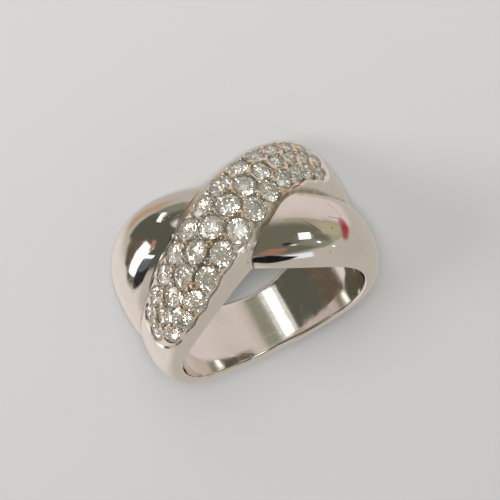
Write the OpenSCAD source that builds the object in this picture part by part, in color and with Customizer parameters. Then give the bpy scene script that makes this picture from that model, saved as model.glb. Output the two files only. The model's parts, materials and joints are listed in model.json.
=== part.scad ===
/* [Finger hole and shank] */
// Diameter of the finger hole
bore_d = 17; // [14:0.1:22]
// Width of the shank at the back, along the finger
shank_wide = 5.6; // [3:0.1:8]
// Thickness of the shank at the back
shank_thick = 2.2; // [1.4:0.1:3]

/* [Crossing bands] */
// How far each band swings to its own side of the middle line
band_swing = 3.2; // [1.5:0.1:4.5]
// Width of both bands where they cross
cross_wide = 8.2; // [6:0.1:10]
// Height of the stone-set band above the finger hole at the crossing
pave_rise = 4.4; // [3.2:0.1:5.5]
// Height of the plain band's dome above the finger hole
dome_rise = 3.4; // [2.6:0.1:4.5]
// Fullness of a band's section, where 2 is an ellipse
band_full = 2.6; // [2:0.05:3.2]

/* [Stones] */
// Girdle diameter of the largest stones, where their neighbours leave room
stone_d = 2.1; // [1.2:0.02:2.4]
// Girdle diameter of the stones at the two ends of the field
stone_end_d = 1.5; // [1:0.02:1.8]
// Distance from the middle row to each side row, near the crossing
row_gap = 2.5; // [2.2:0.05:3]
// Least space between the girdles of two stones
stone_gap = 0.1; // [0.08:0.01:0.3]
// Depth of a stone's girdle below the crest of the metal
stone_sink = 0.2; // [0.1:0.02:0.3]
// Clear space between a stone and its seat
seat_gap = 0.03; // [0.02:0.01:0.04]
// Diameter of the grains of metal between the stones
grain_d = 0.42; // [0.25:0.01:0.5]

/* [Hidden] */
bore_r = bore_d / 2;
// Length of the field of stones each way from the crossing, in degrees
field_end = 58;
// How quickly the stones grow from the ends of the field, where 1 is a cosine
fade_power = 0.7;
// Angle between two rows of a band's table
table_step = 30;
// Facets around the ring and across the part of a band that shows
around = 60;
across = 10;
// How soon the first facet above the finger hole ends, as a share of the way to the crease
first_share = 0.02;
// Sides of a stone's girdle
girdle_sides = 16;
// Smoothness of the finger hole, of a turned seat and of a grain
bore_smooth = 96;
seat_smooth = 32;
grain_smooth = 16;
// Halvings of a range when a place is searched for, and a length that counts as nothing
halvings = 24;
nothing = 0.0001;
// Turn of each stone from the one before it, in degrees
stone_turn = 17;
// Proportions of a round brilliant, as shares of its girdle diameter
table_share = 0.56;
crown_share = 0.15;
girdle_share = 0.03;
pavilion_share = 0.43;
// Where the crown's kite facets meet, as shares of the girdle diameter and of the crown's height
star_share = 0.8;
star_lift = 0.62;
// How far a border grain stands from the line through its two stones, as a share of stone_d
edge_share = 0.34;
// How deep a grain's middle lies in the metal, as a share of its diameter
grain_sink = 0.15;
// How far the uncut bands reach into the finger hole, and a seat past the metal
cut_over = 0.5;

// Columns of a band's table
SWING = 1;
WIDTH = 2;
RISE = 3;
LEAN = 4;
// Angle from the crossing, swing, width, rise and lean of the crest. The swing and the lean are shares of
// band_swing. The width and the rise go from 0, as at the back of the shank, to 1, as at the crossing.
pave_rows = [
    [0, 0.00, 0.95, 1.19, 0.00],
    [30, 0.57, 1.07, 0.59, 0.52],
    [60, 1.04, 0.00, 0.18, 0.17],
    [90, 0.68, 0.20, -0.15, 0.00],
    [120, 0.42, 0.33, -0.12, 0.00],
    [150, 0.10, 0.00, 0.00, 0.00],
    [180, 0.00, 0.00, 0.00, 0.00],
];
dome_rows = [
    [0, 0.00, 1.22, 0.11, 0.00],
    [30, 0.83, 0.56, 1.27, 0.12],
    [60, 0.90, 0.23, 0.63, 0.00],
    [90, 0.60, 0.44, -0.20, 0.00],
    [120, 0.42, 0.33, -0.22, 0.00],
    [150, 0.10, 0.00, 0.00, 0.00],
    [180, 0.00, 0.00, 0.00, 0.00],
];
// Columns of the table of stone rows: name, angle of the first stone, angle from one stone to the next, how
// far the middle of the row is eased on, number of stones, and how far the row lies from the band's crest at
// each of row_angles, as a share of row_gap
ROW_NAME = 0;
ROW_FIRST = 1;
ROW_PITCH = 2;
ROW_EASE = 3;
ROW_COUNT = 4;
ROW_OFFSETS = 5;
row_angles = [-55, -30, 0, 30, 55];
stone_rows = [
    ["near", -50.5, 9.55, 4, 12, [-0.68, -1.00, -1.07, -0.68, -0.52]],
    ["centre", -57, 9.5, 2, 13, [-0.10, 0.00, -0.08, 0.02, 0.05]],
    ["far", -55, 9.6, 0, 12, [0.58, 0.88, 0.91, 0.56, 0.55]],
];
NEAR = 0;
CENTRE = 1;
FAR = 2;

// Smooth curve through a table's column: even about the crossing, or odd for what changes sides there
function entry(rows, col, odd, i) =
    let (last = len(rows) - 1)
    i < 0 ? (odd ? -1 : 1) * rows[-i][col]
    : i > last ? (odd ? -1 : 1) * rows[2 * last - i][col]
    : rows[i][col];
function curve(rows, col, odd, angle) =
    let (
        a = abs(angle) / table_step,
        i = min(floor(a), len(rows) - 2),
        u = a - i,
        weights = [pow(1 - u, 3), 3 * pow(u, 3) - 6 * u * u + 4,
                   -3 * pow(u, 3) + 3 * u * u + 3 * u + 1, pow(u, 3)],
        value = weights * [for (k = [-1:2]) entry(rows, col, odd, i + k)] / 6
    )
    odd ? sign(angle) * value : value;

// A band is its table, its side and its rise at the crossing
pave = [pave_rows, 1, pave_rise];
dome = [dome_rows, -1, dome_rise];
function band_middle(band, a) = band[1] * band_swing * curve(band[0], SWING, true, a);
function band_lean(band, a) = band[1] * band_swing * curve(band[0], LEAN, true, a);
function band_half(band, a) =
    (shank_wide + (cross_wide - shank_wide) * curve(band[0], WIDTH, false, a)) / 2;
function band_rise(band, a) = shank_thick + (band[2] - shank_thick) * curve(band[0], RISE, false, a);
function power(x, p) = sign(x) * pow(abs(x), p);

// Point of a band's skin: a is the angle from the crossing, f goes from 0 at the far edge to 180
function skin(band, a, f) =
    let (
        s = power(cos(f), 2 / band_full),
        y = band_middle(band, a) + band_half(band, a) * s + band_lean(band, a) * (1 - s * s),
        r = bore_r + band_rise(band, a) * power(sin(f), 2 / band_full)
    )
    [r * sin(a), y, r * cos(a)];
function skin_normal(band, a, f) =
    let (
        d = 0.5,
        along = skin(band, a + d, f) - skin(band, a - d, f),
        over = skin(band, a, f + d) - skin(band, a, f - d)
    )
    unit(cross(over, along));
function unit(v) = v / norm(v);

// Where a band's skin lies at a place y along the finger: its angle f, and its height above the hole
function share_at(band, a, y) =
    let (half = band_half(band, a), lean = band_lean(band, a), off = y - band_middle(band, a) - lean)
    abs(lean) < nothing ? off / half : (half - sqrt(half * half - 4 * lean * off)) / (2 * lean);
function angle_at(band, a, y) = acos(power(max(-1, min(1, share_at(band, a, y))), band_full / 2));
function height_at(band, a, y) =
    let (s = abs(share_at(band, a, y)))
    s >= 1 ? 0 : band_rise(band, a) * pow(1 - pow(s, band_full), 1 / band_full);

// The crease between the band on the near side and the one on the far side, found by halving
function crease(near, far, a, low, high, rounds = halvings) =
    let (y = (low + high) / 2, gap = height_at(near, a, y) - height_at(far, a, y))
    rounds == 0 || abs(gap) < nothing ? y
    : gap > 0 ? crease(near, far, a, y, high, rounds - 1)
    : crease(near, far, a, low, y, rounds - 1);

// One section: over the near band to the crease, over the far band to its edge, and back inside the hole.
// At the crossing itself only the stone-set band shows.
function inner_edge(a, y) = let (r = bore_r - cut_over) [r * sin(a), y, r * cos(a)];
function section(near, far, a) =
    let (
        near_edge = band_middle(near, a) - band_half(near, a),
        far_edge = band_middle(far, a) + band_half(far, a),
        y = crease(near, far, a, band_middle(far, a) - band_half(far, a),
                   band_middle(near, a) + band_half(near, a)),
        near_stop = angle_at(near, a, y),
        far_start = angle_at(far, a, y)
    )
    concat(
        [for (i = [0:across])
            skin(near, a, 180 + (near_stop - 180) * (first_share + (1 - first_share) * i / across))],
        [for (i = [1:across]) skin(far, a, far_start * (1 - (1 - first_share) * i / across))],
        [inner_edge(a, far_edge), inner_edge(a, near_edge)]
    );
crossing_section = concat(
    [for (i = [0:across]) skin(pave, 0, 180 * (1 - first_share - (1 - 2 * first_share) * i / across))],
    [inner_edge(0, band_half(pave, 0)), inner_edge(0, -band_half(pave, 0))]
);

// The sections in turn from the back of the shank, and the number of the i-th point of the k-th one. The
// crossing's one band takes the place of the near band of the section before it, and of the far band of
// the section after it.
section_size = 2 * across + 3;
crossing_at = around / 2;
function section_angle(k) = 360 * k / around - 180;
ring_sections = [
    for (k = [0:around - 1])
        let (a = section_angle(k))
        k < crossing_at ? section(pave, dome, a)
            : k == crossing_at ? crossing_section
            : section(dome, pave, a)
];
function point_number(k, i, from_before) =
    k == crossing_at
        ? k * section_size + (i > 2 * across ? i - across : from_before ? min(i, across) : max(0, i - across))
        : (k % around) * section_size - (k % around > crossing_at ? across : 0) + i;
module swept_bands() {
    faces = [
        for (k = [0:around - 1]) for (i = [0:section_size - 1])
            let (
                j = (i + 1) % section_size,
                p = point_number(k, i, false),
                q = point_number(k, j, false),
                r = point_number(k + 1, j, true),
                t = point_number(k + 1, i, true)
            )
            each concat(p == q ? [] : [[p, q, r]], r == t ? [] : [[p, r, t]])
    ];
    polyhedron([for (points = ring_sections) each points], faces);
}

// Angle f of the skin at a distance u from the crest, counted towards the far edge
function skin_at(band, a, u, f = 90) =
    let (
        step = u > 0 ? -1 : 1,
        d = norm(skin(band, a, f + step) - skin(band, a, f))
    )
    abs(u) <= d ? f + step * abs(u) / d : skin_at(band, a, u - sign(u) * d, f + step);

// Frame of a spot on the stone-set band, given by its angle and its distance from the crest: its columns
// are along, across, out and the place
function spot_frame(spot) =
    let (
        f = skin_at(pave, spot[0], spot[1]),
        out = skin_normal(pave, spot[0], f),
        along = unit(cross([0, 1, 0], out)),
        over = cross(out, along),
        place = skin(pave, spot[0], f)
    )
    [for (i = [0:2]) [along[i], over[i], out[i], place[i]]];

// The stones' spots row by row, and the middles of their girdles
function row_spot(row, k) =
    let (
        a = row[ROW_FIRST] + row[ROW_PITCH] * k + row[ROW_EASE] * sin(180 * k / (row[ROW_COUNT] - 1)),
        offsets = row[ROW_OFFSETS]
    )
    [a, row_gap * lookup(a, [for (i = [0:len(offsets) - 1]) [row_angles[i], offsets[i]]])];
function row_spots(row) = [for (k = [0:row[ROW_COUNT] - 1]) row_spot(row, k)];
girdle_depth = stone_sink + stone_d * girdle_share;
stone_spots = [for (row = stone_rows) each row_spots(row)];
girdle_middles = [for (spot = stone_spots) spot_frame(spot) * [0, 0, -girdle_depth, 1]];
last_stone = len(stone_spots) - 1;

// A stone is as large as its place in the field calls for, or smaller where its neighbours stand close
function wanted_size(a) =
    stone_end_d + (stone_d - stone_end_d) * pow(cos(90 * min(1, abs(a) / field_end)), fade_power);
function room(i) =
    min([for (j = [0:last_stone]) if (j != i) norm(girdle_middles[i] - girdle_middles[j])]) - stone_gap;
stone_sizes = [for (i = [0:last_stone]) min(wanted_size(stone_spots[i][0]), room(i))];
function two_digits(n) = str(n < 10 ? "0" : "", n);
stone_names = [
    for (row = stone_rows) for (k = [1:row[ROW_COUNT]]) str("stone_", row[ROW_NAME], "_", two_digits(k))
];

module on_skin(spot) {
    multmatrix(concat(spot_frame(spot), [[0, 0, 0, 1]]))
        children();
}

// A round brilliant on its girdle: table, crown, girdle and pavilion
function ring_points(r, z, sides, turn = 0) =
    [for (k = [0:sides - 1]) [r * cos(360 * (k + turn) / sides), r * sin(360 * (k + turn) / sides), z]];
module brilliant(d) {
    n = girdle_sides;
    h = n / 2;
    crown = d * crown_share;
    belt = d * girdle_share;
    points = concat(
        [[0, 0, -d * pavilion_share]],
        ring_points(d / 2, 0, n),
        ring_points(d / 2, belt, n),
        ring_points(d * star_share / 2, belt + crown * star_lift, h, 0.5),
        ring_points(d * table_share / 2, belt + crown, h)
    );
    low = 1;
    high = low + n;
    star = high + n;
    top = star + h;
    faces = concat(
        [for (k = [0:n - 1]) [0, low + k, low + (k + 1) % n]],
        [for (k = [0:n - 1]) [low + k, high + k, high + (k + 1) % n, low + (k + 1) % n]],
        [for (k = [0:h - 1]) [high + 2 * k, star + k, high + 2 * k + 1]],
        [for (k = [0:h - 1]) [high + 2 * k + 1, star + k, high + (2 * k + 2) % n]],
        [for (k = [0:h - 1]) [high + 2 * k, top + k, star + k]],
        [for (k = [0:h - 1]) [high + (2 * k + 2) % n, star + k, top + (k + 1) % h]],
        [for (k = [0:h - 1]) [star + k, top + k, top + (k + 1) % h]],
        [[for (k = [h - 1:-1:0]) top + k]]
    );
    polyhedron(points, faces);
}
// The hole that a stone drops into
module seat(d) {
    r = d / 2 + seat_gap;
    point = -girdle_depth - d * pavilion_share - seat_gap;
    rotate_extrude($fn = seat_smooth)
        polygon([[0, point], [r, -girdle_depth], [r, cut_over], [0, cut_over]]);
}

// Grains of metal where three stones meet and along both borders
middle_spots = row_spots(stone_rows[CENTRE]);
grain_spots = [
    for (row = [NEAR, FAR])
        let (side = row_spots(stone_rows[row]), n = len(side), out = row == NEAR ? -1 : 1)
        each concat(
            [for (j = [0:n - 1]) (middle_spots[j] + middle_spots[j + 1] + side[j]) / 3],
            [for (j = [0:n - 2]) (side[j] + side[j + 1] + middle_spots[j + 1]) / 3],
            [for (j = [0:n - 2]) (side[j] + side[j + 1]) / 2 + [0, out * stone_d * edge_share]]
        )
];

// The ring lies on its far side, resting on the head's two bulges and the back of the shank. The tilt
// is the one at which head and shank reach down equally far. What lies outside a section's skin is its
// points and where its two sides meet the finger hole.
function at_bore(inner, outer) =
    let (share = cut_over / (norm([outer[0], outer[2]]) - bore_r + cut_over))
    inner + (outer - inner) * share;
function outside(points) =
    let (last = len(points) - 1)
    concat(
        [for (i = [0:last - 2]) points[i]],
        [at_bore(points[last - 1], points[last - 2]), at_bore(points[last], points[0])]
    );
head_skin = [for (k = [0:around - 1]) if (abs(section_angle(k)) <= 90) each outside(ring_sections[k])];
back_skin = [for (k = [0:around - 1]) if (abs(section_angle(k)) >= 90) each outside(ring_sections[k])];
function reach_down(points, tilt) = max(points * [0, cos(tilt), -sin(tilt)]);
function rest_tilt(low = 0, high = 45, rounds = halvings) =
    let (t = (low + high) / 2)
    rounds == 0 ? t
    : reach_down(head_skin, t) > reach_down(back_skin, t) ? rest_tilt(t, high, rounds - 1)
    : rest_tilt(low, t, rounds - 1);
tilt = rest_tilt();
lift = reach_down(head_skin, tilt);

// Half way between the front of the stones and the back of the shank, seen from above
table_points = [
    for (i = [0:last_stone])
        let (d = stone_sizes[i], top = d * (crown_share + girdle_share) - girdle_depth)
        each [for (p = ring_points(d * table_share / 2, top, girdle_sides / 2))
            spot_frame(stone_spots[i]) * concat(p, 1)]
];
from_above = concat(head_skin, back_skin, table_points) * [0, sin(tilt), cos(tilt)];
middle = (min(from_above) + max(from_above)) / 2;

// The bands with the grains on them, before the seats and the finger hole are cut
module bands() {
    swept_bands();
    for (spot = grain_spots)
        on_skin(spot)
            translate([0, 0, -grain_d * grain_sink])
                sphere(d = grain_d, $fn = grain_smooth);
}
module seats() {
    for (i = [0:last_stone])
        on_skin(stone_spots[i])
            seat(stone_sizes[i]);
}
// Turns the ring from its own frame, crossing up, to how it lies
module laid() {
    translate([0, middle, lift])
        rotate([0, 0, 180])
            rotate([tilt - 90, 0, 0])
                children();
}
module ring_body() {
    color("gainsboro")
        laid()
            difference() {
                bands();
                seats();
                rotate([90, 0, 0])
                    cylinder(r = bore_r, h = 4 * cross_wide, center = true, $fn = bore_smooth);
            }
}
module stone(i) {
    color("lightcyan")
        laid()
            on_skin(stone_spots[i])
                translate([0, 0, -girdle_depth])
                    rotate([0, 0, stone_turn * i])
                        brilliant(stone_sizes[i]);
}

ring_body();
for (i = [0:last_stone]) stone(i);
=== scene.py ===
import json
import math

import bmesh
import bpy
import numpy as np
from mathutils import Matrix, Vector
from mathutils.kdtree import KDTree


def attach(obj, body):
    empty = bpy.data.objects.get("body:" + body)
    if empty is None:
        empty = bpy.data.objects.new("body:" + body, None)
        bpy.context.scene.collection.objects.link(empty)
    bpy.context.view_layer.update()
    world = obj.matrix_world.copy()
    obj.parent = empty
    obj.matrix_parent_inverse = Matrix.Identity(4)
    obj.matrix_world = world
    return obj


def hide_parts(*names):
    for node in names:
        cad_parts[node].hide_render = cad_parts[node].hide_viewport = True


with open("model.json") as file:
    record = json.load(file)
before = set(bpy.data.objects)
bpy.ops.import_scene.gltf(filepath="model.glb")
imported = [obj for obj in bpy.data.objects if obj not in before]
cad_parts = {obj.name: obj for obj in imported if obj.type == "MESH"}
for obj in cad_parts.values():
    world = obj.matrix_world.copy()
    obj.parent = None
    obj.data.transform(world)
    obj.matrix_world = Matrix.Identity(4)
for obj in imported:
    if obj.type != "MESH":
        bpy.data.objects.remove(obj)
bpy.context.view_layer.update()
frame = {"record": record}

# Lengths are in millimetres up to the point where a mesh is made
MM = 0.001
# A length that counts as none, and the one within which a facet's cut snaps to a corner
TINY = 1e-4
CUT_SNAP = 1e-5

# Sizes of the ring
BORE_R = 8.5
SHANK_WIDE = 5.6
SHANK_THICK = 2.2
BAND_SWING = 3.2
CROSS_WIDE = 8.2
PAVE_RISE = 4.4
DOME_RISE = 3.4
# How full a band's section is, where 2 gives an ellipse and more gives squarer shoulders
BAND_FULL = 2.6
# The stones: diameter at the crossing and at the ends of the field, distance from row to row, least gap
# between two, and depth of the girdle's top under the skin
STONE_D = 2.1
STONE_END_D = 1.5
ROW_GAP = 2.5
STONE_GAP = 0.1
STONE_SINK = 0.2
# Angle from the crossing at which stones are down to their size at the ends, and how early they shrink
FIELD_END = 58
FADE_POWER = 0.7
# Degrees between two lines of a band's table
TABLE_STEP = 30

# Columns of a band's table: angle from the crossing, swing, width, rise and lean of the crest, as shares of
# the sizes above, where width and rise go from 0 at the back of the shank to 1 at the crossing
SWING, WIDTH, RISE, LEAN = 1, 2, 3, 4
PAVE_ROWS = [
    (0, 0.00, 0.95, 1.19, 0.00),
    (30, 0.57, 1.07, 0.59, 0.52),
    (60, 1.04, 0.00, 0.18, 0.17),
    (90, 0.68, 0.20, -0.15, 0.00),
    (120, 0.42, 0.33, -0.12, 0.00),
    (150, 0.10, 0.00, 0.00, 0.00),
    (180, 0.00, 0.00, 0.00, 0.00),
]
DOME_ROWS = [
    (0, 0.00, 1.22, 0.11, 0.00),
    (30, 0.83, 0.56, 1.27, 0.12),
    (60, 0.90, 0.23, 0.63, 0.00),
    (90, 0.60, 0.44, -0.20, 0.00),
    (120, 0.42, 0.33, -0.22, 0.00),
    (150, 0.10, 0.00, 0.00, 0.00),
    (180, 0.00, 0.00, 0.00, 0.00),
]
# Name of a row of stones, angle of its first stone, pitch, easing, count, and its distance from the band's
# crest at each of ROW_ANGLES, as a share of ROW_GAP
ROW_ANGLES = (-55, -30, 0, 30, 55)
STONE_ROWS = [
    ("near", -50.5, 9.55, 4, 12, (-0.68, -1.00, -1.07, -0.68, -0.52)),
    ("centre", -57, 9.5, 2, 13, (-0.10, 0.00, -0.08, 0.02, 0.05)),
    ("far", -55, 9.6, 0, 12, (0.58, 0.88, 0.91, 0.56, 0.55)),
]
# Proportions of a round brilliant, as shares of its girdle diameter. The stars' points lie on a circle
# STAR_SHARE across, at STAR_LIFT of the crown's height, and two lower facets meet the pavilion's mains at the
# radius LOWER_REACH
TABLE_SHARE = 0.56
CROWN_SHARE = 0.15
GIRDLE_SHARE = 0.03
PAVILION_SHARE = 0.43
STAR_SHARE = 0.8
STAR_LIFT = 0.62
LOWER_REACH = 0.11
GIRDLE_SIDES = 64
# Degrees that each stone is turned further than the one before it
STONE_TURN = 17


def curve(rows, column, odd, angle):
    """Smooth curve through a table's column, even about the crossing or odd for what changes sides."""
    value = np.array(rows, float)[:, column]
    side = -1 if odd else 1
    ends = np.concatenate([[side * value[1]], value, [side * value[-2]]])
    a = np.abs(angle) / TABLE_STEP
    i = np.minimum(a.astype(int), len(value) - 2)
    u = a - i
    total = (
        (1 - u) ** 3 * ends[i]
        + (3 * u**3 - 6 * u**2 + 4) * ends[i + 1]
        + (-3 * u**3 + 3 * u**2 + 3 * u + 1) * ends[i + 2]
        + u**3 * ends[i + 3]
    ) / 6
    return np.sign(angle) * total if odd else total


def power(x, p):
    return np.sign(x) * np.abs(x) ** p


class Band:
    """One of the two bands. Angle a is counted from the crossing, f across the skin from the far edge."""

    def __init__(self, rows, side, rise):
        self.rows, self.side, self.top = rows, side, rise

    def middle(self, a):
        return self.side * BAND_SWING * curve(self.rows, SWING, True, a)

    def lean(self, a):
        return self.side * BAND_SWING * curve(self.rows, LEAN, True, a)

    def half(self, a):
        return (SHANK_WIDE + (CROSS_WIDE - SHANK_WIDE) * curve(self.rows, WIDTH, False, a)) / 2

    def rise(self, a):
        return SHANK_THICK + (self.top - SHANK_THICK) * curve(self.rows, RISE, False, a)

    def profile(self, a, f):
        """Place along the finger and height above the finger hole."""
        s = power(np.cos(np.radians(f)), 2 / BAND_FULL)
        y = self.middle(a) + self.half(a) * s + self.lean(a) * (1 - s * s)
        return y, self.rise(a) * power(np.sin(np.radians(f)), 2 / BAND_FULL)

    def skin(self, a, f):
        a, f = np.broadcast_arrays(np.asarray(a, float), np.asarray(f, float))
        y, h = self.profile(a, f)
        return round_the_bore(a, y, BORE_R + h)

    def share_at(self, a, y):
        """Where y lies across the band, from -1 at the near edge to 1 at the far one."""
        half, lean = self.half(a), self.lean(a)
        off = y - self.middle(a) - lean
        upright = np.abs(lean) < TINY
        root = np.sqrt(np.maximum(half * half - 4 * lean * off, 0))
        return np.where(upright, off / half, (half - root) / (2 * np.where(upright, 1, lean)))

    def height_at(self, a, y):
        s = np.minimum(np.abs(self.share_at(a, y)), 1)
        return self.rise(a) * (1 - s**BAND_FULL) ** (1 / BAND_FULL)

    def angle_at(self, a, y):
        return np.degrees(np.arccos(power(np.clip(self.share_at(a, y), -1, 1), BAND_FULL / 2)))


def round_the_bore(a, y, r):
    return np.stack([r * np.sin(np.radians(a)), y, r * np.cos(np.radians(a))], -1)


def unit(v):
    return v / np.linalg.norm(v, axis=-1, keepdims=True)


PAVE = Band(PAVE_ROWS, 1, PAVE_RISE)
DOME = Band(DOME_ROWS, -1, DOME_RISE)

# The finger hole's middle and axis, as the frame states them, and the ring's own axes: X to its side,
# Y along the finger, Z up through the crossing
bore = next(m for m in frame["record"]["mounts"] if m["name"] == "finger_bore")
ring_y = -Vector(bore["axis"]).normalized()
ring_x = Vector((-1, 0, 0))
ring_z = ring_x.cross(ring_y)
RING = Matrix((ring_x, ring_y, ring_z)).transposed().to_4x4()
RING.translation = Vector(bore["pos_m"])


def mesh_object(name, points, faces, material=None):
    """A piece from points in the ring's own axes, in millimetres."""
    mesh = bpy.data.meshes.new(name)
    placed = np.asarray(points, float) * MM @ np.array(RING.to_3x3()).T + np.array(RING.translation)
    mesh.from_pydata(placed.tolist(), [], faces)
    mesh.validate()
    mesh.update()
    piece = bpy.data.objects.new(name, mesh)
    bpy.context.scene.collection.objects.link(piece)
    if material:
        mesh.materials.append(material)
    return piece


# Rings of points round the finger hole, points across each of the two skins, and across the hole's wall
RINGS = 320
SKIN_STEPS = 72
BORE_STEPS = 12
# Halvings that find the crease, and points along a skin before they are spaced out
HALVINGS = 40
SKIN_SAMPLES = 500
# Rounding of the edges at the finger hole, and how closely the points crowd to the ends of a skin
EDGE_ROUND = 0.25
CROWDING = 1.5
# Points on either side of a crease that its rounding moves, and how often
CREASE_REACH = 9
CREASE_PASSES = 12
# Share of its height that the skin keeps, so that the finer mesh stays inside the CAD's box
SKIN_SHARE = 0.995
# Tool lines along the crease: steps away from it on the stone-set band's side, depth, and the angles over
# which they fade in from the crossing and out to the back of the shank
TOOL_LINES = (4, 6, 8, 10, 12)
TOOL_DEPTH = 0.008
TOOL_FADE_IN = 12
TOOL_FADE_OUT = 90


def crease(near, far, a):
    """Where the skin of the near band gives way to the far one's, found by halving."""
    low = far.middle(a) - far.half(a)
    high = near.middle(a) + near.half(a)
    start = (low + high) / 2
    level = np.abs(near.height_at(a, start) - far.height_at(a, start)) < TINY
    for _ in range(HALVINGS):
        y = (low + high) / 2
        above = near.height_at(a, y) > far.height_at(a, y)
        low, high = np.where(above, y, low), np.where(above, high, y)
    return np.where(level, start, (low + high) / 2)


def edge_rounded(y, h, f):
    """Draws the skin in where it meets the finger hole, as a quarter circle."""
    short = np.clip(1 - h / EDGE_ROUND, 0, 1)
    return y + np.sign(f - 90) * EDGE_ROUND * (1 - np.sqrt(1 - short**2))


def even_steps(points, steps):
    """Points along a polyline, close together towards both of its ends."""
    length = np.concatenate([[0], np.cumsum(np.linalg.norm(np.diff(points, axis=0), axis=1))])
    t = np.linspace(-1, 1, steps + 1)
    share = 0.5 + 0.5 * np.sign(t) * (1 - (1 - np.abs(t)) ** CROWDING)
    at = share * length[-1]
    return np.stack([np.interp(at, length, points[:, i]) for i in range(points.shape[1])], -1)


def skin_part(band, a, f_from, f_to):
    """A stretch of one band's section as (y, height) points."""
    t = np.linspace(0, 1, SKIN_SAMPLES)
    eased = t**2 * (3 - 2 * t)
    f = f_from + (f_to - f_from) * eased
    y, h = band.profile(np.full_like(f, a), f)
    return even_steps(np.stack([edge_rounded(y, h, f), h], -1), SKIN_STEPS)


def softened(section):
    """Rounds the crease in the middle of a section a little."""
    low, high = SKIN_STEPS - CREASE_REACH, SKIN_STEPS + CREASE_REACH + 1
    out = section.copy()
    for _ in range(CREASE_PASSES):
        out[low:high] = (out[low - 1 : high - 1] + 2 * out[low:high] + out[low + 1 : high + 1]) / 4
    return out


def tooled(section, a):
    """Presses the tool lines into a section."""
    at = SKIN_STEPS + (1 if a > 0 else -1) * np.array(TOOL_LINES)
    ahead = unit(section[at + 1] - section[at - 1])
    depth = TOOL_DEPTH * min(1, abs(a) / TOOL_FADE_IN, (180 - abs(a)) / TOOL_FADE_OUT)
    out = section.copy()
    out[at] += depth * ahead[:, ::-1] * [1, -1]
    return out


def bore_wall(section):
    """Points across the finger hole's wall, from the far edge back to the near one."""
    t = np.linspace(0, 1, BORE_STEPS + 2)[1:-1, None]
    return section[-1] * (1 - t) + section[0] * t


def ring_of_points(a):
    """Points round the whole section at angle a: the skins from near to far edge, then the hole's wall."""
    if a == 0:
        section = skin_part(PAVE, 0.0, 180, 0)
    else:
        near, far = (PAVE, DOME) if a < 0 else (DOME, PAVE)
        at = np.array([float(a)])
        y = crease(near, far, at)
        near_part = skin_part(near, a, 180, near.angle_at(at, y)[0])
        far_part = skin_part(far, a, far.angle_at(at, y)[0], 0)
        section = tooled(softened(np.concatenate([near_part, far_part[1:]])), a)
    whole = np.concatenate([section, bore_wall(section)])
    return round_the_bore(np.full(len(whole), float(a)), whole[:, 0], BORE_R + SKIN_SHARE * whole[:, 1])


def swept_bands():
    """Points and faces of both bands as one closed skin. At the crossing only the stone-set band shows, and
    it takes the place of the near band before it and of the far band after it."""
    middle = RINGS // 2
    size = 2 * SKIN_STEPS + 1 + BORE_STEPS
    rings = [ring_of_points(360 * k / RINGS - 180) for k in range(RINGS)]

    def number(k, i, from_before):
        k %= RINGS
        start = k * size - (SKIN_STEPS if k > middle else 0)
        if k != middle:
            return start + i
        if i > 2 * SKIN_STEPS:
            return start + i - SKIN_STEPS
        return start + (min(i, SKIN_STEPS) if from_before else max(0, i - SKIN_STEPS))

    faces = []
    for k in range(RINGS):
        for i in range(size):
            j = (i + 1) % size
            corners = [
                number(k, i, False),
                number(k, j, False),
                number(k + 1, j, True),
                number(k + 1, i, True),
            ]
            faces.append([c for n, c in enumerate(corners) if c != corners[n - 1]][::-1])
    return np.concatenate(rings), faces


# A stone's spot on the stone-set band is its angle, and its distance from the crest towards the far edge.
# Samples across the skin that find it, and degrees to either side of it that give the skin's direction
SPOT_SAMPLES = 1801
NORMAL_STEP = 0.5


def skin_at(a, u):
    """Angle f of the stone-set band's skin at distances u from its crest."""
    f = np.linspace(180, 0, SPOT_SAMPLES)
    steps = np.linalg.norm(np.diff(PAVE.skin(a, f), axis=0), axis=1)
    length = np.concatenate([[0], np.cumsum(steps)])
    return np.interp(u, length - np.interp(-90, -f, length), f)


def skin_normal(a, f):
    d = NORMAL_STEP
    over = PAVE.skin(a, f + d) - PAVE.skin(a, f - d)
    return unit(np.cross(over, PAVE.skin(a + d, f) - PAVE.skin(a - d, f)))


def spot_frame(spot):
    """Columns along, across, out and the place of a spot on the stone-set band."""
    a, f = float(spot[0]), skin_at(*spot)
    out = skin_normal(a, f)
    along = unit(np.cross([0, 1, 0], out))
    return np.stack([along, np.cross(out, along), out, PAVE.skin(a, f)], -1)


def row_spots(row):
    _, first, pitch, ease, count, offsets = row
    k = np.arange(count)
    a = first + pitch * k + ease * np.sin(np.pi * k / (count - 1))
    return np.stack([a, ROW_GAP * np.interp(a, ROW_ANGLES, offsets)], -1)


GIRDLE_DEPTH = STONE_SINK + STONE_D * GIRDLE_SHARE
row_points = {row[0]: row_spots(row) for row in STONE_ROWS}
stone_names = [f"{row[0]}_{k + 1:02d}" for row in STONE_ROWS for k in range(row[4])]
stone_spots = np.concatenate([row_points[row[0]] for row in STONE_ROWS])
stone_frames = [spot_frame(spot) for spot in stone_spots]
girdle_middles = np.array([f @ [0, 0, -GIRDLE_DEPTH, 1] for f in stone_frames])


def stone_sizes():
    """Each stone is as large as its place calls for, or smaller where its neighbours stand close."""
    near_end = np.minimum(1, np.abs(stone_spots[:, 0]) / FIELD_END)
    wanted = STONE_END_D + (STONE_D - STONE_END_D) * np.cos(np.pi / 2 * near_end) ** FADE_POWER
    apart = np.linalg.norm(girdle_middles[:, None] - girdle_middles[None], axis=-1)
    np.fill_diagonal(apart, np.inf)
    return np.minimum(wanted, apart.min(1) - STONE_GAP)


sizes = stone_sizes()


# Cutting a stone's seat: a hole for the stone with a gap round it, and a bright-cut wall that opens out by
# CUT_FLARE from CUT_DEPTH under the skin up to the skin. The cutter stands out of it by CUT_OVER
SEAT_GAP = 0.02
SEAT_SIDES = 48
CUT_FLARE = 0.36
CUT_DEPTH = 0.3
CUT_OVER = 0.5


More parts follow.
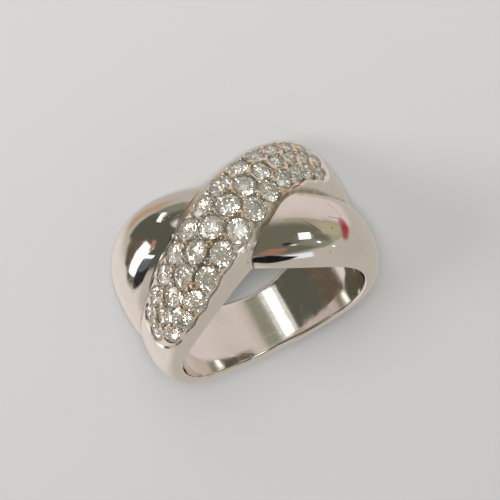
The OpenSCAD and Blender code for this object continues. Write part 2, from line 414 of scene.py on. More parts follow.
def turned(profile, sides):
    """Points and faces of a profile of (radius, height) turned round its axis, closed at both ends."""
    inner = [p for p in profile if p[0] > 0]
    t = 2 * np.pi * np.arange(sides) / sides
    points = [(0, 0, profile[0][1])]
    for r, z in inner:
        points += [(r * math.cos(x), r * math.sin(x), z) for x in t]
    points.append((0, 0, profile[-1][1]))
    faces = []
    for k in range(sides):
        j = (k + 1) % sides
        faces.append((0, 1 + j, 1 + k))
        for i in range(len(inner) - 1):
            low, high = 1 + i * sides, 1 + (i + 1) * sides
            faces.append((low + k, low + j, high + j, high + k))
        last = 1 + (len(inner) - 1) * sides
        faces.append((last + k, last + j, len(points) - 1))
    return np.array(points), faces


def on_skin(points, spot, turn=0.0):
    """Moves points from a spot's own frame to the ring's."""
    c, s = math.cos(math.radians(turn)), math.sin(math.radians(turn))
    turned_points = points @ np.array([[c, s, 0], [-s, c, 0], [0, 0, 1]])
    return turned_points @ spot[:, :3].T + spot[:, 3]


def seat_cutter(i):
    r = sizes[i] / 2 + SEAT_GAP
    point = -GIRDLE_DEPTH - sizes[i] * PAVILION_SHARE - SEAT_GAP
    slope = CUT_FLARE / CUT_DEPTH
    profile = [
        (0, point),
        (r, -GIRDLE_DEPTH),
        (r, -CUT_DEPTH),
        (r + CUT_FLARE, 0),
        (r + CUT_FLARE + slope * CUT_OVER, CUT_OVER),
        (0, CUT_OVER),
    ]
    points, faces = turned(profile, SEAT_SIDES)
    return mesh_object("cutter", on_skin(points, stone_frames[i]), faces)


# The field of stones lies a little below the plain metal, behind one bevelled edge that runs all round it:
# depth, how far its cutter stands out, how far it reaches past the stones, how far it is drawn in between
# them, its growth for each millimetre further out, and steps along and across it
RECESS_DEPTH = 0.1
RECESS_OVER = 0.12
RECESS_MARGIN = 0.2
SCALLOP = 0.2
RECESS_FLARE = 1.7
RECESS_STEPS = (240, 24)
# Angle from the crossing where it ends, angle over which its ends are rounded, and half width left there
FIELD_REACH = 62
FIELD_ROUND = 12
FIELD_TIP = 0.001


def field_steps(count):
    """Places along the field from -1 to 1, close together at its ends."""
    return np.sin(np.linspace(-np.pi / 2, np.pi / 2, count))


def field_outline(s, grown):
    """Angle, middle and half width of the field at s from -1 to 1 along it, with its outline grown. Its
    borders are drawn in between the stones."""
    reach = FIELD_REACH + math.degrees(grown / (BORE_R + SHANK_THICK))
    a = s * reach
    wide = STONE_END_D + (STONE_D - STONE_END_D) * np.cos(np.pi / 2 * np.minimum(1, np.abs(a) / FIELD_END))
    sides = []
    for name, sign in (("near", -1), ("far", 1)):
        offsets = next(row[5] for row in STONE_ROWS if row[0] == name)
        turns = row_points[name][:, 0]
        between = np.sin(np.pi * np.interp(a, turns, np.arange(len(turns)))) ** 2
        reach_out = wide / 2 + RECESS_MARGIN + grown - SCALLOP * between
        sides.append(ROW_GAP * np.interp(a, ROW_ANGLES, offsets) + sign * reach_out)
    late = np.clip((np.abs(a) - reach + FIELD_ROUND) / FIELD_ROUND, 0, 1)
    return a, (sides[0] + sides[1]) / 2, (sides[1] - sides[0]) / 2 * np.sqrt(1 - late**2) + FIELD_TIP


def recess_cutter():
    n, m = RECESS_STEPS
    t = np.linspace(-1, 1, m)
    layers = []
    for height in (-RECESS_DEPTH, RECESS_OVER):
        grown = (height + RECESS_DEPTH) * RECESS_FLARE
        for a, middle, half in zip(*field_outline(field_steps(n), grown)):
            f = skin_at(a, middle + half * t)
            layers.append(PAVE.skin(a, f) + height * skin_normal(a, f))
    points = np.concatenate(layers)

    def number(layer, k, i):
        return (layer * n + k) * m + i

    faces = []
    for k in range(n - 1):
        for i in range(m - 1):
            low = [number(0, k, i), number(0, k + 1, i), number(0, k + 1, i + 1), number(0, k, i + 1)]
            faces += [low[::-1], [v + n * m for v in low]]
    edge = [(k, 0) for k in range(n)] + [(n - 1, i) for i in range(1, m)]
    edge += [(k, m - 1) for k in range(n - 2, -1, -1)] + [(0, i) for i in range(m - 2, 0, -1)]
    for here, ahead in zip(edge, edge[1:] + edge[:1]):
        faces.append((number(0, *here), number(0, *ahead), number(1, *ahead), number(1, *here)))
    return mesh_object("recess", points, faces)


# Grains of metal where three stones meet and along both borders: diameter, share of it left in height, how
# far their middles are sunk, and how far a border's grains lie outside its stones' middles, as a share of
# STONE_D
GRAIN_D = 0.62
GRAIN_FLAT = 0.6
GRAIN_SINK = 0.12
BORDER_SHARE = 0.3


def grain_spots():
    centre = row_points["centre"]
    spots = []
    for name, side in (("near", -1), ("far", 1)):
        row = row_points[name]
        n = len(row)
        spots += [(centre[j] + centre[j + 1] + row[j]) / 3 for j in range(n)]
        spots += [(row[j] + row[j + 1] + centre[j + 1]) / 3 for j in range(n - 1)]
        spots += [(row[j] + row[j + 1]) / 2 + [0, side * STONE_D * BORDER_SHARE] for j in range(n - 1)]
    return spots


def grain_meshes():
    points, faces = [], []
    ball = bmesh.new()
    bmesh.ops.create_icosphere(ball, subdivisions=3, radius=GRAIN_D / 2)
    co = np.array([v.co for v in ball.verts])
    tri = [[v.index for v in f.verts] for f in ball.faces]
    ball.free()
    for spot in grain_spots():
        start = sum(len(p) for p in points)
        points.append(on_skin(co * [1, 1, GRAIN_FLAT] - [0, 0, GRAIN_SINK], spot_frame(spot)))
        faces += [[start + v for v in f] for f in tri]
    return mesh_object("grains", np.concatenate(points), faces)


# How much of the yellower tint the metal beside a stone has, how far from the stone it starts to fade, and
# over what distance it fades
FIELD_TINT = 0.45
FIELD_NEAR = 0.25
FIELD_FADE = 0.1
# How far from its middle a grain still has the whole of that tint, in radii of the grain
GRAIN_REACH = 1.01
# Painted shade along the crease, a dull dark band: how far it reaches up the stone-set band and up the plain
# one, the angle from the crossing where it ends, and the angle over which it fades out
CREASE_SHADE_WIDE = 0.7
CREASE_SHADE_THIN = 0.15
CREASE_SHADE_END = 100
CREASE_SHADE_FADE = 30
# Streaks in the painted shade: distance between them, and how much fainter it is between two of them
STREAK_STEP = 0.19
STREAK_FADE = 0.45
# Satin rim of the field, painted paler as a highlight: distance from the middle of its bevel where it ends,
# and over which it fades
RIM_FAR = 0.16
RIM_FADE = 0.05
# Points that stand for the crease on each side of the crossing, and steps that stand for the rim
CREASE_POINTS = 800
RIM_STEPS = 500


def crease_line(a):
    """Points on the skin along the crease between the two bands, at angles a on one side of the crossing."""
    near, far = (PAVE, DOME) if a[0] < 0 else (DOME, PAVE)
    y = crease(near, far, a)
    return round_the_bore(a, y, BORE_R + PAVE.height_at(a, y))


def distances(line, points):
    """How far each point is from the nearest point of a line, and the number of that one."""
    tree = KDTree(len(line))
    for i, point in enumerate(line):
        tree.insert(point, i)
    tree.balance()
    found = [tree.find(point) for point in points]
    return np.array([f[2] for f in found]), [f[1] for f in found]


def field_share(at):
    """How far points lie among the stones: 1 on a grain, less beside a stone, 0 further off."""
    share = np.zeros(len(at))
    for middle, size in zip(girdle_middles, sizes):
        away = np.linalg.norm(at - middle, axis=1) - size / 2
        share = np.maximum(share, FIELD_TINT * np.clip(1 - (away - FIELD_NEAR) / FIELD_FADE, 0, 1))
    for spot in grain_spots():
        axes = spot_frame(spot)
        off = (at - axes[:, 3]) @ axes[:, :3] + [0, 0, GRAIN_SINK]
        away = np.linalg.norm(off / [1, 1, GRAIN_FLAT], axis=1)
        share = np.where(away < GRAIN_D / 2 * GRAIN_REACH, 1, share)
    return share


def crease_shade_share(at):
    """How far points lie in the painted shade along the crease, as streaks that get fainter away from it."""
    turns = np.linspace(1, CREASE_SHADE_END, CREASE_POINTS)
    line = np.concatenate([crease_line(-turns), crease_line(turns)])
    away, nearest = distances(line, at)
    on_pave = (at[:, 1] - line[nearest, 1]) * at[:, 0] > 0
    angle = np.abs(np.degrees(np.arctan2(at[:, 0], at[:, 2])))
    share = np.clip(1 - away / np.where(on_pave, CREASE_SHADE_WIDE, CREASE_SHADE_THIN), 0, 1)
    share *= np.clip((CREASE_SHADE_END - angle) / CREASE_SHADE_FADE, 0, 1)
    between = 0.5 - 0.5 * np.cos(2 * np.pi * away / STREAK_STEP)
    return share * (1 - STREAK_FADE * between)


def rim_share(at):
    """How far points lie on the bevel round the field: 1 on it, 0 away from it."""
    edge = []
    for a, middle, half in zip(*field_outline(field_steps(RIM_STEPS), RECESS_DEPTH * RECESS_FLARE / 2)):
        both_sides = PAVE.skin(a, skin_at(a, middle + half * np.array([-1, 1])))
        edge += list(both_sides - RECESS_DEPTH / 2 * skin_normal(a, 90))
    return np.clip((RIM_FAR - distances(edge, at)[0]) / RIM_FADE, 0, 1)


def mark_points(mesh):
    """Writes the three shares for each point of the metal, where its material reads them."""
    flat = np.empty(3 * len(mesh.vertices), np.float32)
    mesh.vertices.foreach_get("co", flat)
    ring_inverse = np.array(RING.inverted())
    at = (flat.reshape(-1, 3) @ ring_inverse[:3, :3].T + ring_inverse[:3, 3]) / MM
    for name, share in (("field", field_share), ("crease", crease_shade_share), ("rim", rim_share)):
        values = share(at).astype(np.float32)
        mesh.attributes.new(name, "FLOAT", "POINT").data.foreach_set("value", values)


def combined(base, others, operation):
    """The base piece's mesh after a boolean with each of the others, which are then deleted."""
    for other in others:
        modifier = base.modifiers.new("cut", "BOOLEAN")
        modifier.operation, modifier.object, modifier.solver = operation, other, "MANIFOLD"
    evaluated = base.evaluated_get(bpy.context.evaluated_depsgraph_get())
    mesh = bpy.data.meshes.new_from_object(evaluated)
    base.modifiers.clear()
    base.data = mesh
    for other in others:
        bpy.data.objects.remove(other)
    return base


def node(tree, label, *inputs, **values):
    """A shader node with its inputs in order: an output to link, a value, or None to leave as it is."""
    made = tree.nodes.new(label)
    for key, value in values.items():
        setattr(made, key, value)
    for socket, value in zip(made.inputs, inputs):
        if isinstance(value, bpy.types.NodeSocket):
            tree.links.new(value, socket)
        elif value is not None:
            socket.default_value = value
    return made


def noise(tree, place, per_mm, detail=1):
    return node(tree, "ShaderNodeTexNoise", place, None, per_mm / MM, detail).outputs["Fac"]


def ramp(tree, value, low, high, at_low=0.0, at_high=1.0):
    return node(tree, "ShaderNodeMapRange", value, low, high, at_low, at_high).outputs[0]


def mixed(tree, share, one, other):
    return node(tree, "ShaderNodeMixRGB", share, one, other).outputs[0]


def maths(tree, operation, *inputs):
    return node(tree, "ShaderNodeMath", *inputs, operation=operation).outputs[0]


def vector(tree, operation, *inputs):
    made = node(tree, "ShaderNodeVectorMath", *inputs, operation=operation)
    return made.outputs["Value" if operation in ("DOT_PRODUCT", "LENGTH") else "Vector"]


def attribute(tree, name):
    return node(tree, "ShaderNodeAttribute", attribute_name=name).outputs["Fac"]


def new_material(name):
    """A material, its node tree, its shader and the place on the piece that its patterns follow."""
    material = bpy.data.materials.new(name)
    material.use_nodes = True
    tree = material.node_tree
    place = node(tree, "ShaderNodeTexCoord").outputs["Object"]
    return material, tree, tree.nodes["Principled BSDF"], place


# Noises: patches to a millimetre, and detail where it isn't 1
TINT_NOISE = (0.35, 2)
SHADE_AND_POLISH_NOISE = (1.3, 4)
WORN_NOISE = (0.7,)
DENT_NOISE = (0.9,)
HAMMER_NOISE = (4,)
STONE_NOISE = (0.5,)
CLOUD_NOISE = (4, 3)
FLOOR_NOISE = (0.03, 2)
# Ramps: the values from which and up to which they rise, and what they give there where it isn't 0 and 1
PATCHES = (0.35, 0.65)
WORN = (0.45, 0.62)
SCRATCHED = (0.66, 0.72)
CREASE_SHADE_PATCHES = (0.35, 0.6, 0.5, 1.1)
CREASE_SHADE_SHOWS = (0.1, 0.5)
POLISH = (0.4, 0.7, 0.035, 0.11)
CLOUDED = (0.4, 0.7, 0.0, 0.07)
# Colours of the metal: its two tints, the two between which the field wears, the rim's painted highlight and
# the painted shade along the crease
GOLD_TINTS = ((0.86, 0.83, 0.79, 1), (0.83, 0.785, 0.745, 1))
WORN_TINTS = ((0.96, 0.9, 0.82, 1), (1, 0.82, 0.6, 1))
RIM_HIGHLIGHT_COLOUR = (0.97, 0.94, 0.9, 1)
CREASE_SHADE_COLOUR = (0.42, 0.37, 0.31, 1)
# Roughness that scratches, the painted crease shade together with the marks, the field and its rim add to the
# polish
SCRATCH_ROUGH = 0.13
SHADE_AND_MARK_ROUGH = 0.3
FIELD_ROUGH = 0.16
RIM_ROUGH = 0.26
# Height of the dents in millimetres, and that of the scratches and of the hammered field as shares of it
DENT_HIGH = 0.006
SCRATCH_HIGH = -0.02
HAMMER_HIGH = 8
# Hair scratches: turns of the three layers in degrees, then scratches per millimetre along and across
SCRATCH_TURNS = [(20, 70, 10), (110, 30, 60), (50, 10, 130)]
SCRATCH_ALONG = 0.25
SCRATCH_ACROSS = 9
# Marks on the metal, from one end to the other in the ring's own axes, in millimetres. Columns:
# the two ends, half width, share of the colour that shows, colour
RED = (0.6, 0.06, 0.09)
ORANGE = (0.7, 0.42, 0.2)
SCUFF = (0.16, 0.15, 0.13)
MARKS = [
    ((7.29, 1.34, 8.56), (6.68, 0.57, 9.36), 0.06, 0.9, RED),
    ((6.68, 0.57, 9.36), (5.87, 0.18, 10.07), 0.06, 0.9, RED),
    ((5.87, 0.18, 10.07), (5.23, -0.32, 10.45), 0.05, 0.8, RED),
    ((5.36, -3.2, 10.5), (5.71, -3.62, 10.3), 0.03, 0.7, SCUFF),
    ((5.71, -3.62, 10.3), (6.0, -4.07, 10.06), 0.035, 0.9, SCUFF),
    ((6.0, -4.07, 10.06), (6.26, -4.55, 9.72), 0.035, 0.95, SCUFF),
    ((7.93, -1.57, 8.64), (8.28, -2.26, 8.38), 0.07, 0.5, ORANGE),
    ((8.28, -2.26, 8.38), (8.52, -3.21, 8.11), 0.05, 0.6, ORANGE),
    ((8.34, -3.85, 8.26), (8.3, -4.3, 8.13), 0.4, 0.8, RED),
    ((8.3, -4.3, 8.13), (8.03, -4.86, 8.03), 0.34, 0.85, RED),
    ((7.31, -4.29, 9.14), (7.27, -4.33, 9.14), 0.05, 0.8, SCUFF),
    ((7.47, -3.25, 9.22), (7.9, -3.36, 8.8), 0.03, 0.8, SCUFF),
    ((7.9, -3.36, 8.8), (8.42, -3.43, 8.21), 0.03, 0.8, SCUFF),
    ((6.29, -5.72, 8.25), (6.25, -5.75, 8.25), 0.05, 0.7, SCUFF),
]
# Shares of a mark's half width up to which it shows in full, and at which it is gone
MARK_FULL = 0.6
MARK_GONE = 1.6


def mark_mask(tree, place, start, end, half_width, share):
    """The share of a mark's colour that shows: full near the line between its ends, none further off."""
    first, last = (RING @ (Vector(p) * MM) for p in (start, end))
    line = last - first
    off = vector(tree, "SUBTRACT", place, first)
    along = vector(tree, "DOT_PRODUCT", off, line / line.length_squared)
    along = node(tree, "ShaderNodeClamp", along).outputs[0]
    nearest = node(tree, "ShaderNodeCombineXYZ", along, along, along).outputs[0]
    nearest = vector(tree, "MULTIPLY", nearest, line)
    far = vector(tree, "LENGTH", vector(tree, "SUBTRACT", off, nearest))
    return ramp(tree, far, half_width * MM * MARK_FULL, half_width * MM * MARK_GONE, share, 0.0)


def hair_scratches(tree, place):
    """1 on a scratch and 0 beside it, from three layers that run in different directions."""
    scratches = None
    for turns in SCRATCH_TURNS:
        angles = [math.radians(t) for t in turns]
        stretch = (SCRATCH_ALONG / SCRATCH_ACROSS, 1, 1)
        turned_place = node(tree, "ShaderNodeMapping", place, None, angles, stretch).outputs[0]
        layer = ramp(tree, noise(tree, turned_place, SCRATCH_ACROSS), *SCRATCHED)
        scratches = layer if scratches is None else maths(tree, "MAXIMUM", scratches, layer)
    return scratches


def metal_colour(tree, place, field, rim, crease_shade):
    """The metal's colour with its marks, a painted highlight on the field's rim and painted shade along the
    crease, and how far each place is covered by that shade or a mark.
    """
    colour = mixed(tree, ramp(tree, noise(tree, place, *TINT_NOISE), *PATCHES), *GOLD_TINTS)
    worn = ramp(tree, noise(tree, place, *WORN_NOISE), *WORN)
    colour = mixed(tree, field, colour, mixed(tree, worn, *WORN_TINTS))
    # Painted highlight: the bevel round the field is paler than the rest of the metal
    colour = mixed(tree, rim, colour, RIM_HIGHLIGHT_COLOUR)
    # Painted shade: the metal turns dark brown-grey along the crease
    colour = mixed(tree, ramp(tree, crease_shade, *CREASE_SHADE_SHOWS), colour, CREASE_SHADE_COLOUR)
    shade_and_marks = crease_shade
    for *mark, mark_colour in MARKS:
        mask = mark_mask(tree, place, *mark)
        colour = mixed(tree, mask, colour, (*mark_colour, 1))
        shade_and_marks = maths(tree, "MAXIMUM", shade_and_marks, mask)
    return colour, shade_and_marks


def metal_bump(tree, place, field, scratches):
    """The metal's normal, bent by dents and scratches, and by what the field is hammered."""
    scratched = maths(tree, "MULTIPLY", scratches, SCRATCH_HIGH)
    height = maths(tree, "ADD", noise(tree, place, *DENT_NOISE), scratched)
    hammered = maths(tree, "MULTIPLY", field, HAMMER_HIGH)
    hammered = maths(tree, "MULTIPLY", noise(tree, place, *HAMMER_NOISE), hammered)
    bump = node(tree, "ShaderNodeBump")
    bump.inputs["Strength"].default_value = 1
    bump.inputs["Distance"].default_value = DENT_HIGH * MM
    tree.links.new(maths(tree, "ADD", height, hammered), bump.inputs["Height"])
    return bump.outputs[0]


def white_gold():
    """Polished metal: uneven in tint and gloss, with hair scratches, slight dents and a few marks. What lies
    among the stones is yellower, where the plating has worn off it. The rim round the field is painted paler
    as a highlight, and shade is painted along the crease as a dark streaked band."""
    material, tree, bsdf, place = new_material("white_gold")
    field = attribute(tree, "field")
    rim = attribute(tree, "rim")
    shade_and_polish = noise(tree, place, *SHADE_AND_POLISH_NOISE)
    # Painted shade along the crease, thicker and thinner in patches
    crease_shade = maths(tree, "MULTIPLY", attribute(tree, "crease"), ramp(tree, shade_and_polish, *CREASE_SHADE_PATCHES))
    scratches = hair_scratches(tree, place)
    colour, shade_and_marks = metal_colour(tree, place, field, rim, crease_shade)
    rough = ramp(tree, shade_and_polish, *POLISH)
    shares = ((scratches, SCRATCH_ROUGH), (shade_and_marks, SHADE_AND_MARK_ROUGH), (field, FIELD_ROUGH), (rim, RIM_ROUGH))
    for share, added in shares:
        rough = maths(tree, "ADD", rough, maths(tree, "MULTIPLY", share, added))
    tree.links.new(colour, bsdf.inputs["Base Color"])
    tree.links.new(rough, bsdf.inputs["Roughness"])
    tree.links.new(metal_bump(tree, place, field, scratches), bsdf.inputs["Normal"])
    bsdf.inputs["Metallic"].default_value = 1
    return material


# The stones: pale and dark tints at the left and at the right, where the shift from left to right is a
# painted cast of the surroundings that the stones reflect, how far from the middle those are reached,
# refraction, and how much light goes through
PALE_TINTS = ((0.92, 0.91, 0.82, 1), (1, 0.93, 0.83, 1))
DARK_TINTS = ((0.84, 0.84, 0.76, 1), (0.95, 0.87, 0.76, 1))
TINT_REACH = 6
DIAMOND_IOR = 2.417
CLEAR_SHARE = 0.95


def diamond():
    """Small stones of a warm tint, each a little different, with a trace of cloud in them. Their tint shifts
    from left to right as a painted reflection of the surroundings.
    """
    material, tree, bsdf, place = new_material("diamond")
    x = node(tree, "ShaderNodeSeparateXYZ", place).outputs[0]
    # Painted reflection: the tint shifts from one side to the other, as the reflected surroundings do
    painted_cast_to_right = ramp(tree, x, -TINT_REACH * MM, TINT_REACH * MM)
    tints = [mixed(tree, painted_cast_to_right, *pair) for pair in (PALE_TINTS, DARK_TINTS)]
    darker = ramp(tree, noise(tree, place, *STONE_NOISE), *PATCHES)
    tree.links.new(mixed(tree, darker, *tints), bsdf.inputs["Base Color"])
    tree.links.new(ramp(tree, noise(tree, place, *CLOUD_NOISE), *CLOUDED), bsdf.inputs["Roughness"])
    bsdf.inputs["IOR"].default_value = DIAMOND_IOR
    bsdf.inputs["Transmission Weight"].default_value = CLEAR_SHARE
    return material


def facet_planes():
    """A place and a direction for each facet of a brilliant with a girdle one unit across."""
    girdle = 0.5
    # Half and a quarter of the angle between two mains
    half, quarter = math.pi / 8, math.pi / 16
    crown_top = GIRDLE_SHARE + CROWN_SHARE
    star_edge = TABLE_SHARE / 2 * math.cos(half)
    star_slope = CROWN_SHARE * (1 - STAR_LIFT) / (STAR_SHARE / 2 - star_edge)
    crown_slope = CROWN_SHARE / ((1 - TABLE_SHARE) / 2)
    upper_slope = CROWN_SHARE * STAR_LIFT / (girdle - STAR_SHARE / 2 * math.cos(quarter))
    pavilion_slope = PAVILION_SHARE / girdle
    lower_slope = (
        pavilion_slope
        * (girdle - LOWER_REACH * math.cos(half))
        / (girdle - LOWER_REACH * math.cos(quarter))
    )
    planes = [(Vector((0, 0, crown_top)), Vector((0, 0, 1)))]
    for count, first, radius, height, slope in (
        (8, half, star_edge, crown_top, star_slope),
        (8, 0, girdle, GIRDLE_SHARE, crown_slope),
        (16, quarter, girdle, GIRDLE_SHARE, upper_slope),
        (16, quarter, girdle, 0, -lower_slope),
        (8, 0, girdle, 0, -pavilion_slope),
    ):
        up = Vector((0, 0, 1 if slope > 0 else -1))
        for k in range(count):
            t = first + 2 * math.pi * k / count
            ahead = Vector((math.cos(t), math.sin(t), 0))
            planes.append((ahead * radius + Vector((0, 0, height)), ahead * abs(slope) + up))
    return planes


def brilliant_mesh():
    """Points and faces of a full-cut brilliant, cut from a cylinder one unit across."""
    cut = bmesh.new()
    bmesh.ops.create_cone(cut, cap_ends=True, segments=GIRDLE_SIDES, radius1=0.5, radius2=0.5, depth=2)
    for place, normal in facet_planes():
        geometry = cut.verts[:] + cut.edges[:] + cut.faces[:]
        bmesh.ops.bisect_plane(
            cut, geom=geometry, dist=CUT_SNAP, plane_co=place, plane_no=normal, clear_outer=True
        )
        open_edges = [e for e in cut.edges if e.is_boundary]
        if open_edges:
            bmesh.ops.holes_fill(cut, edges=open_edges, sides=0)
    bmesh.ops.remove_doubles(cut, verts=cut.verts[:], dist=TINY)
    cut.verts.index_update()
    points = np.array([v.co for v in cut.verts])
    faces = [[v.index for v in f.verts] for f in cut.faces]
    cut.free()
    return points, faces


# Angle between two faces of the metal above which their edge is shaded sharp
SHARP_ANGLE = 20


def build_metal():
    """Both bands as one piece, with the field and the seats cut into it and the grains added."""
    metal = mesh_object("metal", *swept_bands())
    cutters = [recess_cutter()] + [seat_cutter(i) for i in range(len(sizes))]
    cutter = combined(cutters[0], cutters[1:], "UNION")
    metal = combined(metal, [cutter], "DIFFERENCE")
    metal = combined(metal, [grain_meshes()], "UNION")
    metal.data.materials.clear()
    metal.data.materials.append(white_gold())
    metal.data.shade_smooth()
    mark_points(metal.data)
    metal.data.set_sharp_from_angle(angle=math.radians(SHARP_ANGLE))
    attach(metal, "root")
    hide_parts("ring_body")


def build_stones():
    """Each stone as a piece of its own, turned a little further than the one before it."""
    glass = diamond()
    points, faces = brilliant_mesh()
    for i, name in enumerate(stone_names):
        placed = on_skin(points * sizes[i] - [0, 0, GIRDLE_DEPTH], stone_frames[i], STONE_TURN * i)
        stone = mesh_object(f"brilliant_{name}", placed, faces, glass)
        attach(stone, "root")
        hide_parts(f"stone_{name}")


# Floor: half of its side in metres, its two tints and its roughness
FLOOR_HALF = 1.5
FLOOR_TINTS = ((0.3, 0.3, 0.3, 1), (0.304, 0.3, 0.296, 1))
FLOOR_ROUGH = 0.9


def build_floor():
    """A plain matt floor. The ring mirrors the cards below it in the floor's place."""
    mesh = bpy.data.meshes.new("floor")
    corners = [(-1, -1), (1, -1), (1, 1), (-1, 1)]
    mesh.from_pydata([(x * FLOOR_HALF, y * FLOOR_HALF, 0) for x, y in corners], [], [(0, 1, 2, 3)])
    floor = bpy.data.objects.new("floor", mesh)
    bpy.context.scene.collection.objects.link(floor)
    material, tree, bsdf, place = new_material("floor")
    colour = mixed(tree, ramp(tree, noise(tree, place, *FLOOR_NOISE), *PATCHES), *FLOOR_TINTS)
    tree.links.new(colour, bsdf.inputs["Base Color"])
    bsdf.inputs["Roughness"].default_value = FLOOR_ROUGH
    mesh.materials.append(material)
    floor.visible_glossy = False


# Camera: the photograph's angle to the ring in the ring's own axes, in degrees, its distance, the scale at
# the finger hole's middle, and where that lies in a picture of PICTURE pixels. The clips are in metres
PICTURE = 500
CAMERA_TURN = -8.22
CAMERA_HEIGHT = 61.46
CAMERA_ROLL = 19.59
CAMERA_DISTANCE = 299.28
PIXELS_PER_MM = 11.83
BORE_PIXEL = (248.54, 276.70)
SENSOR = 36
CLIP_NEAR = 0.01
CLIP_FAR = 10


def place_camera():
    a, e, roll = (math.radians(x) for x in (CAMERA_TURN, CAMERA_HEIGHT, CAMERA_ROLL))
    back = Vector((math.sin(a) * math.cos(e), -math.cos(a) * math.cos(e), math.sin(e)))
    level_up = Vector((-math.sin(a) * math.sin(e), math.cos(a) * math.sin(e), math.cos(e)))
    level_right = Vector((math.cos(a), math.sin(a), 0))
    image_up = math.cos(roll) * level_up + math.sin(roll) * level_right
    image_right = image_up.cross(back)
    shift_right, shift_down = ((pixel - PICTURE / 2) / PIXELS_PER_MM for pixel in BORE_PIXEL)
    place = CAMERA_DISTANCE * back - shift_right * image_right + shift_down * image_up
    data = bpy.data.cameras.new("camera")
    data.sensor_width = SENSOR
    data.lens = CAMERA_DISTANCE * PIXELS_PER_MM / PICTURE * SENSOR
    data.clip_start = CLIP_NEAR
    data.clip_end = CLIP_FAR
    camera = bpy.data.objects.new("camera", data)
    bpy.context.scene.collection.objects.link(camera)
    turn = Matrix((image_right, image_up, back)).transposed().to_4x4()
    camera.matrix_world = RING @ Matrix.Translation(place * MM) @ turn
    bpy.context.scene.camera = camera


# Light: a studio of soft cards all round, given by the direction that each is seen in from the ring, where a
# later card lies over the earlier ones. Columns: azimuth from +Y to +X, elevation, turn, half width, half
# height and softness of the edge, all in degrees, and the colour
PALE = (0.53, 0.485, 0.435)
BRIGHT = (0.80, 0.735, 0.69)
PINK = (0.62, 0.53, 0.49)
OLIVE = (0.38, 0.355, 0.26)
DARK = (0.155, 0.15, 0.115)
DEEP = (0.105, 0.105, 0.08)
BROWN = (0.13, 0.10, 0.07)
BLACK = (0.012, 0.012, 0.012)
WHITE = (2.0, 2.0, 1.95)
CARDS = [
    (45, -20, 0, 26, 40, 24, BRIGHT),
    (-121, 14, 0, 36, 31, 3, OLIVE),
    (-143, 30, 0, 44, 40, 18, OLIVE),
    (182, 45, 0, 56, 52, 16, DARK),
    (-112, 60, 0, 22, 13, 10, (0.25, 0.25, 0.19)),
    (118, 0, 0, 50, 30, 10, DEEP),
    (126, -65, 0, 22, 11, 14, (0.5, 0.35, 0.23)),
    (140, -32, 0, 34, 14, 6, DEEP),
    (172, -39, 0, 15, 9, 7, (0.24, 0.235, 0.19)),
    (-106, 6, 0, 15, 17, 14, (0.46, 0.42, 0.29)),
    (-140, -31, 0, 30, 14, 2, PINK),
    (-115, -42, 0, 40, 20, 10, (0.72, 0.65, 0.62)),
    (-174, -20, 0, 8, 7, 10, (0.28, 0.285, 0.21)),
    (95, -27, 0, 18, 4, 4, BROWN),
    (-145, 34, 0, 7.5, 12, 2, WHITE),
    (97, -11, 0, 20, 9, 4, WHITE),
    (103, 3, 0, 3, 9, 2, WHITE),
    (75, 12, 0, 9, 11, 4, (0.03, 0.03, 0.032)),
    (92, 8, 0, 9, 6, 4, (0.14, 0.16, 0.19)),
    (119, -7, -30, 9, 2.5, 2, (0.5, 0.25, 0.15)),
    (152, -30, -41, 7.5, 2, 1.5, WHITE),
    (166, -18, 0, 10, 2, 3, (0.8, 0.8, 0.75)),
    (166, -18, 0, 5, 1.4, 2.4, WHITE),
    (15, 66, 0, 12, 9, 3, (0.9, 0.98, 1.05)),
    (50, 53, 0, 14, 16, 3, BLACK),
    (120, 68, 0, 14, 8, 6, (0.36, 0.2, 0.14)),
    (180, 56, 20, 4, 6, 2, BLACK),
    (-172, 63, 0, 3, 2, 1, (1.2, 1.2, 1.1)),
    (-60, 49, 0, 2, 1.5, 1, WHITE),
    (-108, 56, 20, 4, 2, 1.5, WHITE),
]
# A card shows only in directions whose share towards its middle is more than this
CARD_FRONT = 0.01


def towards(azimuth, elevation):
    """The direction at an azimuth and an elevation, in degrees."""
    a, e = math.radians(azimuth), math.radians(elevation)
    return Vector((math.sin(a) * math.cos(e), math.cos(a) * math.cos(e), math.sin(e)))


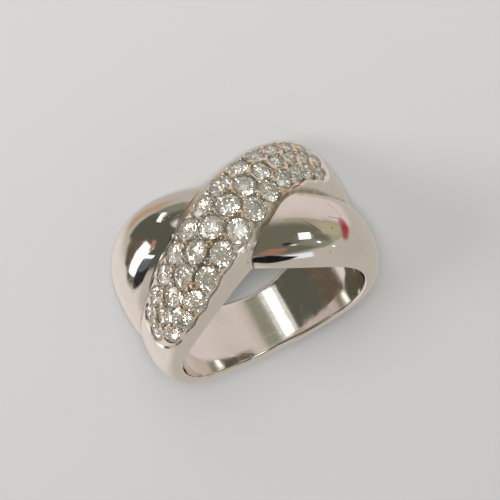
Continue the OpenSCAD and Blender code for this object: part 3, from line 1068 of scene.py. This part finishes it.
def card_mask(tree, direction, azimuth, elevation, turn, half_width, half_height, softness):
    """1 inside a card that faces the ring, 0 outside, with a soft edge between."""
    ahead = towards(azimuth, elevation)
    side = towards(azimuth + 90, 0)
    up = side.cross(ahead)
    t = math.radians(turn)
    across = math.cos(t) * side + math.sin(t) * up
    along = math.cos(t) * up - math.sin(t) * side
    depth = vector(tree, "DOT_PRODUCT", direction, ahead)
    mask = maths(tree, "GREATER_THAN", depth, CARD_FRONT)
    for axis, half in ((across, half_width), (along, half_height)):
        off = vector(tree, "DOT_PRODUCT", direction, axis)
        share = maths(tree, "ABSOLUTE", maths(tree, "DIVIDE", off, depth))
        inner, outer = (math.tan(math.radians(half + d)) for d in (-softness / 2, softness / 2))
        edge = node(
            tree, "ShaderNodeMapRange", share, inner, outer, 1.0, 0.0, interpolation_type="SMOOTHSTEP"
        ).outputs[0]
        mask = maths(tree, "MULTIPLY", mask, edge)
    return mask


def build_studio():
    """The world that the metal mirrors: pale all round, with the cards in front."""
    world = bpy.data.worlds.new("studio")
    world.use_nodes = True
    tree = world.node_tree
    direction = node(tree, "ShaderNodeTexCoord").outputs["Generated"]
    colour = (*PALE, 1)
    for *shape, card_colour in CARDS:
        colour = mixed(tree, card_mask(tree, direction, *shape), colour, (*card_colour, 1))
    tree.links.new(colour, tree.nodes["Background"].inputs["Color"])
    bpy.context.scene.world = world


# Lights for the floor and the stones. Columns: name, azimuth, elevation, side in metres, power in watts, and
# whether it shows through the stones. LIGHT_AWAY is their distance in metres
LIGHT_AWAY = 1.2
LIGHTS = [
    ("key", 140, 20, 0.45, 17.2, True),
    ("second", 178, 24, 0.45, 14.5, False),
    ("fill", 175, 38, 0.2, 23.7, True),
]


def soft_light(name, azimuth, elevation, side, power, shows_through):
    """A large light that lights the floor and casts the ring's shadow, and isn't mirrored in the ring."""
    data = bpy.data.lights.new(name, "AREA")
    data.size = side
    data.energy = power
    light = bpy.data.objects.new(name, data)
    bpy.context.scene.collection.objects.link(light)
    ahead = towards(azimuth, elevation)
    light.location = ahead * LIGHT_AWAY
    light.rotation_euler = ahead.to_track_quat("Z", "Y").to_euler()
    light.visible_glossy = False
    light.visible_camera = False
    light.visible_transmission = shows_through


build_metal()
build_stones()
build_floor()
place_camera()
build_studio()
for row in LIGHTS:
    soft_light(*row)
bpy.context.scene.view_settings.view_transform = "Standard"
